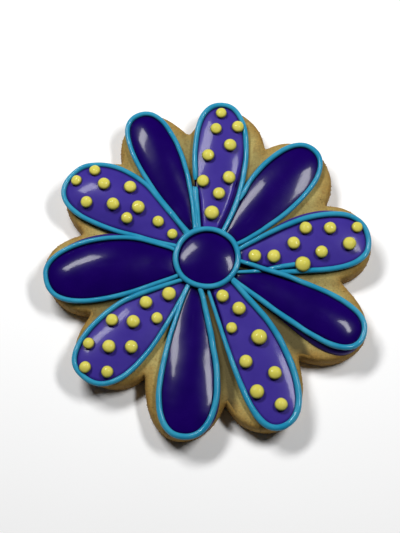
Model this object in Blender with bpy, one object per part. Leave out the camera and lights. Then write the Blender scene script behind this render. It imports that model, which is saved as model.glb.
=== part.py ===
"""A flower cookie: a scalloped sugar cookie with ten iced petals, their piped outlines and a centre.

The flower lies flat with its underside on z = 0 and its top petal towards +Y. Bearings are in
degrees, clockwise from +Y as seen from above. Sizes in the tables are millimetres; mm() turns
them into metres where the meshes are made.
"""

import math
from collections import namedtuple

import bmesh
import bpy
from mathutils import Vector

# Heights above the table, in millimetres
COOKIE_THICK = 7.0
# The cookie's side: height, and how far in from its outline
BAKED_PROFILE = ((0.0, 0.9), (0.3, 0.3), (1.2, 0.0), (5.2, 0.0), (6.2, 0.3), (6.8, 0.9), (7.0, 1.7))
GAP = 0.3
POOL_FLOOR = COOKIE_THICK + GAP
POOL_EDGE = POOL_FLOOR + 0.3
POOL_SHOULDER = POOL_FLOOR + 0.7
POOL_RISE = 1.4
DOT_LIFT = 0.25
DOT_HEIGHT = 0.8
DOT_FLOOR = 0.15

# The piped line and where it runs, in millimetres
LINE_RADIUS = 0.88
LINE_HEIGHT = POOL_SHOULDER + GAP + LINE_RADIUS
LINE_KEEP = LINE_RADIUS + GAP / 2
RING_ACROSS = 9.5
RING_DEEP = 9.2
LINE_START = RING_ACROSS + 2 * LINE_RADIUS - 0.45

# How finely the shapes are drawn
LOBE_POINTS = 10
SIDE_STEPS = 13
RING_POINTS = 26
LINE_BEVEL_STEPS = 2
DOT_SEGMENTS = 10
DOT_RINGS = 5

# Shape of the baked lobes
NOTCH_SOFTNESS = 0.14

# The pool of icing inside each line: how far in from the line each contour lies, and its share
# of the rise
POOL_CONTOURS = ((1.3, 0.03), (1.75, 0.5), (2.9, 0.84))
POOL_OVERLAP = 0.2
POOL_SPINE = (0.14, 0.62)
POOL_NARROW = 3.0
DIVIDE_BLEND = 0.3

# One side of a petal: bearing of its foot at the ring, then the two handles of its curve: the
# first at (shoulder, waist) from the flower's centre, the second as wide as full at the tip
Side = namedtuple("Side", "foot waist shoulder full spill lift", defaults=(0.0, 0.0))
# A notch in the cookie after a petal, and the baked lobe under the petal
Notch = namedtuple("Notch", "bearing radius")
Lobe = namedtuple("Lobe", "bearing radius roundness")
# A dot of icing: distance along the petal, distance to its clockwise side, diameter
Dot = namedtuple("Dot", "along across size")
Petal = namedtuple("Petal", "bearing reach left right notch lobe dots")

DARK = ()

PETALS = {
    "petal_a": Petal(
        6.0, 50.9, Side(350.5, 7.6, 30, 11.0), Side(29.5, 11.2, 24, 10.4),
        Notch(26.6, 41.0), Lobe(8.0, 50.2, 1.1),
        (Dot(47.5, -0.5, 3.4), Dot(42, -1.5, 3.5), Dot(43.5, 5, 3.9), Dot(37, 3.5, 4.0),
         Dot(33, -3, 3.8), Dot(26.5, 4, 4.1), Dot(24, -4.5, 3.9), Dot(21, 1.5, 3.9), Dot(14.5, 0, 4.6)),
    ),
    "petal_b": Petal(
        43.5, 48.8, Side(33.5, 10.1, 24, 10.8, 0.5), Side(64.0, 8.7, 24, 10.5),
        Notch(63.9, 40.3), Lobe(44.5, 49.3, 1.0), DARK,
    ),
    "petal_c": Petal(
        82.5, 50.4, Side(73.5, 10.0, 28, 13.3, 1.0), Side(115.0, 6.5, 24, 13.8),
        Notch(99.5, 41.0), Lobe(82.0, 51.0, 0.85),
        (Dot(46.5, -3.5, 3.5), Dot(43.5, 1.5, 4.2), Dot(38.5, -4, 3.9), Dot(34.5, 3, 3.9),
         Dot(31, -5, 4.0), Dot(28.5, 6, 4.6), Dot(26.5, -1, 4.0), Dot(20, 2.5, 4.1), Dot(14.5, 1.5, 4.1)),
    ),
    "petal_d": Petal(
        118.5, 52.7, Side(100.5, 7.6, 30, 11.8, 0.0, 2.15), Side(129.5, 5.0, 30, 11.4, 2.4),
        Notch(138.2, 41.0), Lobe(118.0, 53.4, 0.95), DARK,
    ),
    "petal_e": Petal(
        156.5, 56.5, Side(135.5, 12.8, 26, 12.8), Side(178.0, 5.4, 30, 10.8),
        Notch(172.8, 44.7), Lobe(156.5, 56.0, 1.0),
        (Dot(13, 0.5, 4.0), Dot(18.5, -2.5, 4.2), Dot(23, 2, 3.5), Dot(29, -4, 4.9),
         Dot(34.5, 2.5, 4.1), Dot(41, -4, 4.2), Dot(44, 3, 4.4), Dot(50.5, -2, 4.0)),
    ),
    "petal_f": Petal(
        188.0, 55.8, Side(191.5, 7.8, 26, 15.0, 0.9), Side(209.0, 7.8, 28, 12.5),
        Notch(208.0, 40.7), Lobe(189.5, 55.6, 0.85), DARK,
    ),
    "petal_g": Petal(
        226.5, 51.9, Side(219.0, 10.0, 26, 15.6), Side(233.0, 10.7, 22, 11.5),
        Notch(246.0, 39.0), Lobe(228.0, 51.0, 0.75),
        (Dot(16, -0.5, 4.3), Dot(23, 2, 4.0), Dot(24, -3.5, 3.6), Dot(34, 5, 3.9), Dot(30, 0.5, 4.1),
         Dot(44, 4.5, 3.6), Dot(40.5, -0.5, 4.1), Dot(35.5, -5, 4.0), Dot(49.5, 0, 3.6), Dot(46, -5.5, 3.7)),
    ),
    "petal_h": Petal(
        264.0, 49.2, Side(243.0, 10.2, 28, 13.3, 0.5), Side(286.0, 12.2, 20, 10.5, 1.3),
        Notch(282.7, 38.8), Lobe(266.5, 49.5, 0.9), DARK,
    ),
    "petal_i": Petal(
        300.0, 49.8, Side(291.5, 7.8, 28, 11.8), Side(317.0, 14.4, 26, 15.2),
        Notch(320.3, 40.6), Lobe(302.5, 50.2, 0.95),
        (Dot(43.5, 6.5, 3.6), Dot(47, 1, 3.4), Dot(39, 4, 3.9), Dot(31.5, 7.5, 4.0), Dot(40.5, -3, 3.7),
         Dot(33, 0, 4.0), Dot(26, 3, 4.1), Dot(27.5, -1.5, 3.6), Dot(18.5, 2.5, 3.6), Dot(13, 1, 3.3)),
    ),
    "petal_j": Petal(
        335.0, 52.1, Side(327.0, 7.2, 28, 9.5), Side(340.0, 8.2, 28, 11.3),
        Notch(352.3, 41.0), Lobe(337.0, 51.6, 1.0), DARK,
    ),
}
NAMES = list(PETALS)
# After this petal the two lines cross: the strand of the next petal climbs over between these
# distances from the centre, up over the first two and down over the last two
CROSSED = "petal_c"
BRIDGE = (11.0, 14.0, 26.5, 32.0)

# A pool that starts farther out than its line, to leave the crossing free
POOL_ROOTS = {"petal_d": 13.0}

# Colours
BISCUIT = (0.42, 0.33, 0.13)
VIOLET = (0.055, 0.034, 0.255)
DARK_PURPLE = (0.011, 0.001, 0.087)
TURQUOISE = (0.018, 0.25, 0.41)


def mm(value):
    return value * 0.001


def polar(radius, bearing):
    return Vector((math.sin(math.radians(bearing)), math.cos(math.radians(bearing)))) * radius


def softer_max(a, b):
    """The greater of two numbers, with the bend between them rounded off."""
    return 0.5 * (a + b + math.hypot(a - b, DIVIDE_BLEND))


def neighbour(name, step):
    return NAMES[(NAMES.index(name) + step) % len(NAMES)]


def divide(name):
    """Start and inward normal of the line that parts this petal from the next one clockwise."""
    petal = PETALS[name]
    foot = (petal.right.foot + PETALS[neighbour(name, 1)].left.foot) / 2
    start = polar(LINE_START, foot)
    along = (polar(petal.notch.radius, petal.notch.bearing) - start).normalized()
    return start, Vector((-along.y, along.x))


def bezier(a, b, c, d, t):
    s = 1 - t
    return s**3 * a + 3 * s * s * t * b + 3 * s * t * t * c + t**3 * d


def side_points(name, turn, steps, keep):
    """Points of one side of a petal's line, from its foot to the tip. turn is -1 for the left side.

    The side stays at least keep inside the line that parts it from its neighbour, unless keep
    is None.
    """
    petal = PETALS[name]
    side = petal.left if turn < 0 else petal.right
    start, normal = divide(neighbour(name, -1) if turn < 0 else name)
    inward = normal if turn > 0 else -normal
    axis = polar(1, petal.bearing)
    across = Vector((axis.y, -axis.x)) * turn
    foot = polar(LINE_START, side.foot)
    handle = axis * side.shoulder + across * side.waist
    tip_handle = axis * petal.reach + across * side.full
    tip = axis * petal.reach
    points = []
    for i in range(steps + 1):
        point = bezier(foot, handle, tip_handle, tip, i / steps)
        if keep is not None:
            distance = (point - start).dot(inward)
            point += inward * (softer_max(distance, keep) - distance)
        points.append(point)
    return points


def bead_side(name, turn, steps):
    """One side of a petal's piped line, as it runs on the cookie."""
    crosses = CROSSED == (neighbour(name, -1) if turn < 0 else name)
    return side_points(name, turn, steps, None if crosses else LINE_KEEP)


def outward(points, turn):
    """Unit normals of a side, pointing out of the petal."""
    normals = []
    for i in range(len(points)):
        along = points[min(i + 1, len(points) - 1)] - points[max(i - 1, 0)]
        normals.append(Vector((along.y, -along.x)).normalized() * turn)
    return normals


def pool_sides(name):
    """The two sides of a petal's pool of icing, and the spine between them."""
    petal = PETALS[name]
    sides, lines = [], []
    for turn, side in ((-1, petal.left), (1, petal.right)):
        line = side_points(name, turn, SIDE_STEPS, LINE_KEEP)
        edge = []
        for i, (point, normal) in enumerate(zip(line, outward(line, turn))):
            spill = side.spill * math.sin(math.pi * i / SIDE_STEPS) ** 2
            edge.append(point + normal * (POOL_OVERLAP + spill))
        sides.append(edge)
        lines.append(line)
    first = 0
    while min(lines[0][first].length, lines[1][first].length) < POOL_ROOTS.get(name, 0):
        first += 1
    spine = []
    low = first / SIDE_STEPS + POOL_SPINE[0]
    for i in range(SIDE_STEPS + 1):
        t = min(max(i / SIDE_STEPS, low), POOL_SPINE[1]) * SIDE_STEPS
        whole = min(int(t), SIDE_STEPS - 1)
        middle = [(a + b) / 2 for a, b in zip(*lines)]
        spine.append(middle[whole].lerp(middle[whole + 1], t - whole))
    return sides, lines, spine, first


def loop_of(left, right, first):
    """One closed loop: up the left side, round the tip and down the right side."""
    return left[first:] + right[first:-1][::-1]


def pool_loops(edge, line, spine):
    """Contours of a pool from its underside up to the last one below the crown."""
    inset = [point.lerp(centre, 0.035) for point, centre in zip(edge, spine)]
    loops = [
        [point.to_3d() + Vector((0, 0, POOL_FLOOR)) for point in edge],
        [point.to_3d() + Vector((0, 0, POOL_EDGE)) for point in edge],
        [point.to_3d() + Vector((0, 0, POOL_SHOULDER)) for point in inset],
    ]
    for distance, share in POOL_CONTOURS:
        loop = []
        for point, centre in zip(line, spine):
            width = (centre - point).length
            inside = point.lerp(centre, 1 - math.exp(-distance / width))
            height = POOL_SHOULDER + rise_at(width) * share
            loop.append(inside.to_3d() + Vector((0, 0, height)))
        loops.append(loop)
    return loops


def rise_at(width):
    """How far a pool stands above its shoulder where it is this wide from line to spine."""
    return POOL_RISE * (1 - math.exp(-width / POOL_NARROW))


def close_bands(mesh, rings):
    """Bands of faces between closed rings of as many points."""
    count = len(rings[0])
    for lower, upper in zip(rings, rings[1:]):
        for i in range(count):
            j = (i + 1) % count
            mesh.faces.new((lower[j], lower[i], upper[i], upper[j]))


def finished(mesh, name):
    """The mesh in triangles with its faces out, smooth but for its edges."""
    bmesh.ops.triangulate(mesh, faces=mesh.faces)
    bmesh.ops.recalc_face_normals(mesh, faces=mesh.faces)
    data = bpy.data.meshes.new(name)
    mesh.to_mesh(data)
    mesh.free()
    data.shade_smooth()
    data.set_sharp_from_angle(angle=math.radians(50))
    return data


def close_pool(mesh, rings, crown):
    """Faces of a pool: bands between its contours, a crown on top and a flat underside."""
    close_bands(mesh, rings)
    count = len(rings[0])
    top = rings[-1]
    for i in range(count):
        j = (i + 1) % count
        corners = [top[j], top[i], crown[i], crown[j]]
        mesh.faces.new(list(dict.fromkeys(corners)))
    mesh.faces.new(rings[0])


def pool_mesh(name, loops, crown_points):
    """A domed pool of icing from its contours."""
    mesh = bmesh.new()
    rings = [[mesh.verts.new(point * mm(1)) for point in loop] for loop in loops]
    made = {}
    crown = []
    for point in crown_points:
        key = (round(point.x, 4), round(point.y, 4))
        if key not in made:
            made[key] = mesh.verts.new(point * mm(1))
        crown.append(made[key])
    close_pool(mesh, rings, crown)
    return finished(mesh, name)


def add_object(name, data, collection, material):
    data.materials.append(material)
    obj = bpy.data.objects.new(name, data)
    collection.objects.link(obj)
    return obj


def icing(name, colour, roughness):
    material = bpy.data.materials.new(name)
    material.use_nodes = True
    shader = material.node_tree.nodes["Principled BSDF"]
    shader.inputs["Base Color"].default_value = (*colour, 1)
    shader.inputs["Roughness"].default_value = roughness
    shader.inputs["Metallic"].default_value = 0.0
    return material


def cookie_outline():
    """The scalloped edge of the cookie: a baked lobe under each petal, a soft notch between two."""
    points = []
    for name in NAMES:
        petal = PETALS[name]
        before = PETALS[neighbour(name, -1)].notch
        start = before.bearing - (360 if before.bearing > petal.notch.bearing else 0)
        for i in range(LOBE_POINTS):
            share = 2 * i / LOBE_POINTS - 1
            notch = before if share < 0 else petal.notch
            reach = petal.lobe.bearing - start if share < 0 else petal.notch.bearing - petal.lobe.bearing
            arc = math.hypot(math.cos(share * math.pi / 2), NOTCH_SOFTNESS) - NOTCH_SOFTNESS
            bulge = (arc / (math.hypot(1, NOTCH_SOFTNESS) - NOTCH_SOFTNESS)) ** petal.lobe.roundness
            radius = notch.radius + (petal.lobe.radius - notch.radius) * bulge
            points.append(polar(radius, petal.lobe.bearing + reach * share))
    return points


def make_cookie(collection, material):
    """The baked base: its outline drawn in by a little more or less at each height."""
    outline = cookie_outline()
    inward = [-normal for normal in closed_normals(outline)]
    mesh = bmesh.new()
    rings = []
    for height, inset in BAKED_PROFILE:
        loop = [point + normal * inset for point, normal in zip(outline, inward)]
        rings.append([mesh.verts.new((mm(point.x), mm(point.y), mm(height))) for point in loop])
    close_bands(mesh, rings)
    mesh.faces.new(rings[0])
    mesh.faces.new(rings[-1])
    add_object("cookie_base", finished(mesh, "cookie_base"), collection, material)


def closed_normals(points):
    """Unit normals of a closed clockwise outline, pointing out of it."""
    normals = []
    for i, point in enumerate(points):
        along = points[(i + 1) % len(points)] - points[i - 1]
        normals.append(Vector((-along.y, along.x)).normalized())
    return normals


def climb(radius):
    """Share of its lift that the bridging strand has at this distance from the centre."""
    foot, up, down, end = BRIDGE
    rise = min(max((radius - foot) / (up - foot), 0), 1)
    fall = min(max((end - radius) / (end - down), 0), 1)
    share = min(rise, fall)
    return share * share * (3 - 2 * share)


def make_line(name, points, closed, collection, material):
    """A piped line of icing: a round bead along its points in space."""
    curve = bpy.data.curves.new(name, "CURVE")
    curve.dimensions = "3D"
    curve.bevel_depth = mm(LINE_RADIUS)
    curve.bevel_resolution = LINE_BEVEL_STEPS
    curve.use_fill_caps = True
    spline = curve.splines.new("POLY")
    spline.points.add(len(points) - 1)
    spline.use_cyclic_u = closed
    for spot, point in zip(spline.points, points):
        spot.co = (*(point * mm(1)), 1)
    return add_object(name, curve, collection, material)


def clear_of_line(spot, size, line):
    """Moves a dot's centre inwards until its edge is a gap away from the bead."""
    need = size / 2 + LINE_RADIUS + GAP
    for _ in range(4):
        nearest = min(line, key=lambda point: (point - spot).length)
        away = spot - nearest
        if away.length < need:
            spot = nearest + away.normalized() * need
    return spot


def dense_line(name):
    """The whole line of a petal in short steps, with the ring beyond its feet."""
    steps = SIDE_STEPS * 4
    return bead_side(name, -1, steps) + bead_side(name, 1, steps) + ring_points(RING_POINTS * 4)


def pool_height(spot, line, spine):
    """Height of a pool's surface near its crown, at this spot."""
    edge = min((point - spot).length for point in line)
    width = max((point - centre).length for point, centre in zip(line, spine))
    reach = min(edge / max(width, 1e-6), 1)
    return POOL_SHOULDER + rise_at(width) * (0.84 + 0.16 * reach)


def make_dots(name, lines, spine, cutters):
    """The piped dots of one petal: flattened balls, sunk into the icing to just below their middle."""
    petal = PETALS[name]
    axis = polar(1, petal.bearing)
    across = Vector((axis.y, -axis.x))
    bead = dense_line(name)
    for number, dot in enumerate(petal.dots):
        spot = clear_of_line(axis * dot.along + across * dot.across, dot.size, bead)
        mesh = bmesh.new()
        bmesh.ops.create_uvsphere(mesh, u_segments=DOT_SEGMENTS, v_segments=DOT_RINGS, radius=1)
        half = dot.size / 2
        bmesh.ops.scale(mesh, vec=Vector((half, half, half * DOT_HEIGHT)) * mm(1), verts=mesh.verts)
        height = pool_height(spot, lines[0] + lines[1], spine * 2) + DOT_LIFT
        height = max(height, POOL_FLOOR + half * DOT_HEIGHT + DOT_FLOOR)
        bmesh.ops.translate(mesh, vec=Vector((spot.x, spot.y, height)) * mm(1), verts=mesh.verts)
        data = bpy.data.meshes.new(f"{name}_dot_{number}")
        mesh.to_mesh(data)
        mesh.free()
        obj = bpy.data.objects.new(data.name, data)
        obj.hide_render = True
        obj.display_type = "WIRE"
        cutters.objects.link(obj)


def fuse(target, pieces):
    """Joins all objects of a collection to the target in one union, then removes them."""
    union = target.modifiers.new("Fuse dots", "BOOLEAN")
    union.operation = "UNION"
    union.operand_type = "COLLECTION"
    union.collection = pieces
    union.solver = "EXACT"
    graph = bpy.context.evaluated_depsgraph_get()
    joined = bpy.data.meshes.new_from_object(target.evaluated_get(graph))
    target.modifiers.remove(union)
    plain = target.data
    target.data = joined
    bpy.data.meshes.remove(plain)
    joined.name = target.name
    for obj in list(pieces.objects):
        bpy.data.objects.remove(obj, do_unlink=True)
    bpy.data.collections.remove(pieces)


def make_petal(name, collection, materials):
    """A petal's pool of icing with its dots, and the line piped round it."""
    petal = PETALS[name]
    sides, lines, spine, first = pool_sides(name)
    left = pool_loops(sides[0], lines[0], spine)
    right = pool_loops(sides[1], lines[1], spine)
    loops = [loop_of(a, b, first) for a, b in zip(left, right)]
    tops = []
    for centre, point in zip(spine, lines[0]):
        height = POOL_SHOULDER + rise_at((centre - point).length)
        tops.append(centre.to_3d() + Vector((0, 0, height)))
    colour = materials["violet"] if petal.dots else materials["purple"]
    data = pool_mesh(f"{name}_icing", loops, loop_of(tops, tops, first))
    pool = add_object(f"{name}_icing", data, collection, colour)
    if petal.dots:
        dots = bpy.data.collections.new(f"{name}_dots")
        bpy.context.scene.collection.children.link(dots)
        make_dots(name, lines, spine, dots)
        fuse(pool, dots)
    beads = []
    for turn, side in ((-1, petal.left), (1, petal.right)):
        bead = []
        for point in bead_side(name, turn, SIDE_STEPS):
            bead.append(Vector((point.x, point.y, LINE_HEIGHT + side.lift * climb(point.length))))
        beads.append(bead)
    make_line(f"{name}_outline", loop_of(beads[0], beads[1], 0), False, collection, materials["turquoise"])


def ring_points(count):
    step = math.tau / count
    return [Vector((RING_ACROSS * math.sin(i * step), RING_DEEP * math.cos(i * step))) for i in range(count)]


def make_centre(collection, materials):
    """The round pool in the middle and the ring piped round it."""
    line = ring_points(RING_POINTS)
    edge = [point * (1 + POOL_OVERLAP / RING_ACROSS) for point in line]
    spine = [Vector((0, 0))] * len(line)
    loops = pool_loops(edge, line, spine)
    top = Vector((0, 0, POOL_SHOULDER + rise_at(RING_ACROSS)))
    data = pool_mesh("centre_icing", loops, [top] * len(line))
    add_object("centre_icing", data, collection, materials["purple"])
    ring = [Vector((point.x, point.y, LINE_HEIGHT)) for point in line]
    make_line("centre_ring", ring, True, collection, materials["turquoise"])


def main():
    for obj in list(bpy.data.objects):
        bpy.data.objects.remove(obj, do_unlink=True)
    collection = bpy.data.collections.new("flower_cookie")
    bpy.context.scene.collection.children.link(collection)
    materials = {
        "biscuit": icing("biscuit", BISCUIT, 0.85),
        "violet": icing("violet_icing", VIOLET, 0.25),
        "purple": icing("purple_icing", DARK_PURPLE, 0.2),
        "turquoise": icing("turquoise_icing", TURQUOISE, 0.4),
    }
    make_cookie(collection, materials["biscuit"])
    for name in NAMES:
        make_petal(name, collection, materials)
    make_centre(collection, materials)


main()
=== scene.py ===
# %% [markdown]
# # Dressing an iced flower cookie
#
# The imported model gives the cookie's solids in metres. This lesson replaces each of them with a
# finer piece in the same place: baked dough, pools of set icing, piped lines and piped dots.
# Everything is worked out in millimetres and made smaller only where a mesh is built, because
# icing is easier to think of in millimetres than in metres.

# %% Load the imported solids
import math
from collections import namedtuple

import bpy
import numpy as np
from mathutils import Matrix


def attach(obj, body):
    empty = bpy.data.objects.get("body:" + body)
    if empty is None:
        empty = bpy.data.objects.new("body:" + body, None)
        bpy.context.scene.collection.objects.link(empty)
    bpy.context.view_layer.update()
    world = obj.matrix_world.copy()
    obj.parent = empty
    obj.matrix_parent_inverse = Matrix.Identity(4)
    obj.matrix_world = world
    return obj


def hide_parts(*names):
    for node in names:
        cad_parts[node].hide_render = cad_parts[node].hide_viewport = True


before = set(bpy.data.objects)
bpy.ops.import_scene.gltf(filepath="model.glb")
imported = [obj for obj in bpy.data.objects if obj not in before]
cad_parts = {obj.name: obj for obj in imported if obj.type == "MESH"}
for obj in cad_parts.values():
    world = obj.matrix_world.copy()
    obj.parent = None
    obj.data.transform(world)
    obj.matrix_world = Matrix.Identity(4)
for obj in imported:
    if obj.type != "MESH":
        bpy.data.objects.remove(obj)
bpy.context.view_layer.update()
MM = 0.001
print("nodes in the frame:", len(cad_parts))

# %% [markdown]
# ## What was measured
#
# The flower has ten petals, named a to j clockwise from the top one. Each petal is two curved
# sides that start at the ring and meet at the tip. Bearings are in degrees, clockwise from +Y, and
# the left side is the anticlockwise one.
#
# A side is one Bezier curve: where its foot stands on the ring, how wide the petal is at its waist,
# how far out that waist lies, called shoulder, and how full the tip is. Spill is how far the icing
# ran out past the line, and at which share of the side the most. Lift is how far the line climbs
# over another one. Inset is how far the pool stays short of its line at the root, and up to which
# share of the side. Thin is how thin the line starts at the ring, and over which length it thickens.
#
# A notch parts two petals. Keep is how far each line stays from the line that parts the petals,
# gloom how little light reaches the dough between them, and swing how far their parting line heads
# past the notch. A lobe of dough lies under each petal, and its two powers say how pointed its
# sides are. Press is how hard the line was piped, and puff how strongly the pool is domed.
#
# A few rounded numbers per petal say all of this, so a petal can be made fuller or turned without
# touching a mesh.

# %% The flower's table
NO_SPILL, NO_LIFT, NO_INSET, USUAL_THIN = (0.0, 0.5), 0.0, (0.0, 0.0), (0.8, 12)
Side = namedtuple("Side", "foot waist shoulder full spill lift inset thin",
                  defaults=(NO_SPILL, NO_LIFT, NO_INSET, USUAL_THIN))
Notch = namedtuple("Notch", "bearing radius keep gloom swing", defaults=(0.0,))
Lobe = namedtuple("Lobe", "bearing radius left right")
Dot = namedtuple("Dot", "along across size")
Petal = namedtuple("Petal", "bearing reach left right notch lobe press puff dots")

PETALS = {
    "a": Petal(
        6.0, 50.8, Side(345.5, 7.6, 30, 11.0, inset=(1.3, 0.3)),
        Side(29.5, 11.0, 24, 10.4, inset=(2.0, 0.6), thin=(0.95, 12)),
        Notch(26.6, 41.2, 0.1, 0.5), Lobe(8.0, 50.2, 0.9, 0.68), 0.96, 0.047,
        (Dot(47.5, -0.5, 3.5), Dot(42, -1.5, 3.6), Dot(43.5, 5, 3.9), Dot(37, 3.3, 4.0),
         Dot(33, -3, 3.9), Dot(26.5, 4, 4.1), Dot(24.6, -3.7, 3.9), Dot(21, 1.5, 3.9), Dot(14.5, 0, 4.6)),
    ),
    "b": Petal(
        43.5, 48.5, Side(33.5, 10.1, 24, 10.8, (0.5, 0.6)), Side(64.0, 9.1, 24, 10.5),
        Notch(63.9, 40.8, 0.64, 0.45), Lobe(44.5, 49.3, 0.6, 0.6), 0.93, 0.05, (),
    ),
    "c": Petal(
        82.5, 49.6, Side(73.5, 10.0, 28, 13.3, (2.0, 0.42)), Side(115.0, 6.5, 24, 13.8),
        Notch(98.5, 41.2, 0.64, 0.5), Lobe(82.0, 50.8, 0.55, 0.5), 1.0, 0.046,
        (Dot(46.5, -3.5, 3.5), Dot(43.3, 1.5, 4.2), Dot(38.3, -4, 3.9), Dot(34.6, 3, 3.9),
         Dot(31, -5, 4.0), Dot(28.5, 5.8, 4.8), Dot(26.7, -0.8, 4.0), Dot(20.2, 2.3, 4.1),
         Dot(14.5, 1.4, 4.1)),
    ),
    "d": Petal(
        118.5, 52.6, Side(96.0, 7.6, 30, 11.8, lift=0.9), Side(131.5, 5.0, 30, 11.4, (1.9, 0.63)),
        Notch(137.6, 41.0, 0.08, 3.0), Lobe(118.0, 53.4, 0.95, 0.65), 1.0, 0.082, (),
    ),
    "e": Petal(
        156.5, 56.3, Side(131.0, 12.2, 26, 12.8),
        Side(178.0, 5.4, 30, 10.8, inset=(1.2, 0.3), thin=(0.52, 40)),
        Notch(172.8, 44.8, 0.64, 1.9), Lobe(156.5, 56.0, 0.8, 0.5), 1.17, 0.032,
        (Dot(13, 0.5, 4.0), Dot(18.6, -2.4, 4.2), Dot(23.2, 2, 3.5), Dot(29.2, -4.2, 4.9),
         Dot(34.4, 2.3, 4.1), Dot(41, -4, 4.2), Dot(44, 3, 4.4), Dot(50.3, -1.8, 4.0)),
    ),
    "f": Petal(
        188.0, 55.2, Side(191.5, 7.8, 26, 15.0, (0.9, 0.6)), Side(213.5, 9.0, 28, 12.0, thin=(0.68, 38)),
        Notch(207.4, 40.5, 0.05, 0.0), Lobe(189.5, 55.6, 0.7, 0.78), 1.1, 0.051, (),
    ),
    "g": Petal(
        226.5, 51.9, Side(214.0, 8.8, 26, 16.4, thin=(0.7, 24)), Side(228.0, 10.7, 22, 11.5),
        Notch(244.8, 38.9, 0.6, 0.8), Lobe(228.0, 51.0, 0.48, 0.85), 0.96, 0.043,
        (Dot(16.2, -0.5, 4.3), Dot(23.1, 2.2, 4.0), Dot(24, -3.5, 3.6), Dot(34.2, 5, 3.9),
         Dot(30, 0.3, 4.1), Dot(44, 4.5, 3.6), Dot(40.4, -0.4, 4.1), Dot(35.6, -4.9, 4.0),
         Dot(49.5, 0, 3.6), Dot(45.8, -5.5, 3.7)),
    ),
    "h": Petal(
        263.5, 49.2, Side(237.0, 10.2, 28, 13.3), Side(284.5, 12.6, 20, 10.5, (2.2, 0.45)),
        Notch(282.7, 39.2, 0.3, 0.0, 4.0), Lobe(266.5, 49.5, 0.55, 0.7), 0.88, 0.066, (),
    ),
    "i": Petal(
        300.0, 49.8, Side(292.5, 7.8, 28, 11.8), Side(320.5, 15.2, 26, 15.2),
        Notch(320.3, 41.6, 0.05, 0.25, 2.2), Lobe(302.5, 50.2, 0.8, 0.85), 0.93, 0.07,
        (Dot(43.7, 6.7, 3.6), Dot(46.8, 1.2, 3.4), Dot(38.8, 4.1, 3.9), Dot(31.5, 7.3, 4.0),
         Dot(40.5, -3.2, 3.7), Dot(33, 0, 4.0), Dot(26, 3, 4.1), Dot(27.3, -1.5, 3.6),
         Dot(18.6, 2.4, 3.6), Dot(12.9, 1.2, 3.3)),
    ),
    "j": Petal(
        335.0, 51.7, Side(326.0, 7.2, 28, 9.5), Side(338.0, 8.2, 28, 11.3),
        Notch(352.2, 42.2, 0.3, 0.5), Lobe(337.0, 51.6, 0.65, 0.85), 0.88, 0.083, (),
    ),
}
NAMES = list(PETALS)
print("petals:", len(NAMES), "dots:", sum(len(petal.dots) for petal in PETALS.values()))

# %% [markdown]
# ## Heights
#
# The dough is seven millimetres thick. The pools of icing were run in first and set with a round
# shoulder. The lines were piped on those shoulders afterwards, and the dots dropped on last.
#
# BEAD is half the thickness of a line, and FOOT the distance from the centre at which the petals'
# lines start. BLEND is how softly a line bends away from the one beside it. CROSSED names the petal
# whose right line lies under its neighbour's. BRIDGE is where the upper line climbs: the distances
# from the centre at which it starts up, is up, starts down and is down.

# %% Named sizes in millimetres
DOUGH = 7.0
POOL_SHOULDER = 7.9
BEAD = 0.83
BLEND = 0.3
RING_ACROSS, RING_DEEP = 9.5, 9.2
FOOT = 9.9
CROSSED = "c"
BRIDGE = (11.0, 15.0, 24.0, 31.0)


def polar(radius, bearing):
    """Points at a distance and a bearing, in any number at once."""
    turn = np.radians(bearing)
    return np.stack([radius * np.sin(turn), radius * np.cos(turn)], -1)


def neighbour(name, step):
    return NAMES[(NAMES.index(name) + step) % len(NAMES)]


print("petal before a:", neighbour("a", -1))

# %% [markdown]
# ## The path of a petal's line
#
# A baker pipes the line in one pull, from the ring out round the tip and back. Where two petals
# meet, the lines lie side by side, so each is pushed to its own side of a dividing line that runs
# from the ring to the notch. Only in one place do two lines cross, and there the later one climbs
# over the earlier.

# %% Sides of a petal
def divide(name):
    """Start and inward normal of the line that parts this petal from the next one clockwise."""
    petal = PETALS[name]
    start = polar(FOOT, (petal.right.foot + PETALS[neighbour(name, 1)].left.foot) / 2)
    along = polar(petal.notch.radius, petal.notch.bearing + petal.notch.swing) - start
    along /= np.hypot(*along)
    return start, np.array([-along[1], along[0]])


def side_points(name, turn, steps, clamp=True):
    """One side of a petal from foot to tip. turn is -1 for the left side."""
    petal = PETALS[name]
    side = petal.left if turn < 0 else petal.right
    axis = polar(1, petal.bearing)
    across = np.array([axis[1], -axis[0]]) * turn
    marks = (polar(FOOT, side.foot), axis * side.shoulder + across * side.waist,
             axis * petal.reach + across * side.full, axis * petal.reach)
    t = np.linspace(0, 1, steps + 1)[:, None]
    weights = ((1 - t) ** 3, 3 * t * (1 - t) ** 2, 3 * t**2 * (1 - t), t**3)
    points = sum(weight * mark for weight, mark in zip(weights, marks))
    if clamp:
        valley = neighbour(name, -1) if turn < 0 else name
        start, normal = divide(valley)
        keep = PETALS[valley].notch.keep
        inward = normal * turn
        distance = (points - start) @ inward
        kept = 0.5 * (distance + keep + np.hypot(distance - keep, BLEND))
        points = points + (kept - distance)[:, None] * inward
    return points


def crosses(name, turn):
    return CROSSED == (neighbour(name, -1) if turn < 0 else name)


print("left side of petal a starts at", side_points("a", -1, 8)[0].round(1))

# %% [markdown]
# ## Nodes that read like sums
#
# Materials and Geometry Nodes are both graphs of nodes. A Wire wraps one socket, so that
# wire - 0.5 or wire * 3 adds the Math node by itself. Any other node comes from one method, which
# takes the node's type, its settings and what goes into its sockets.

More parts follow.
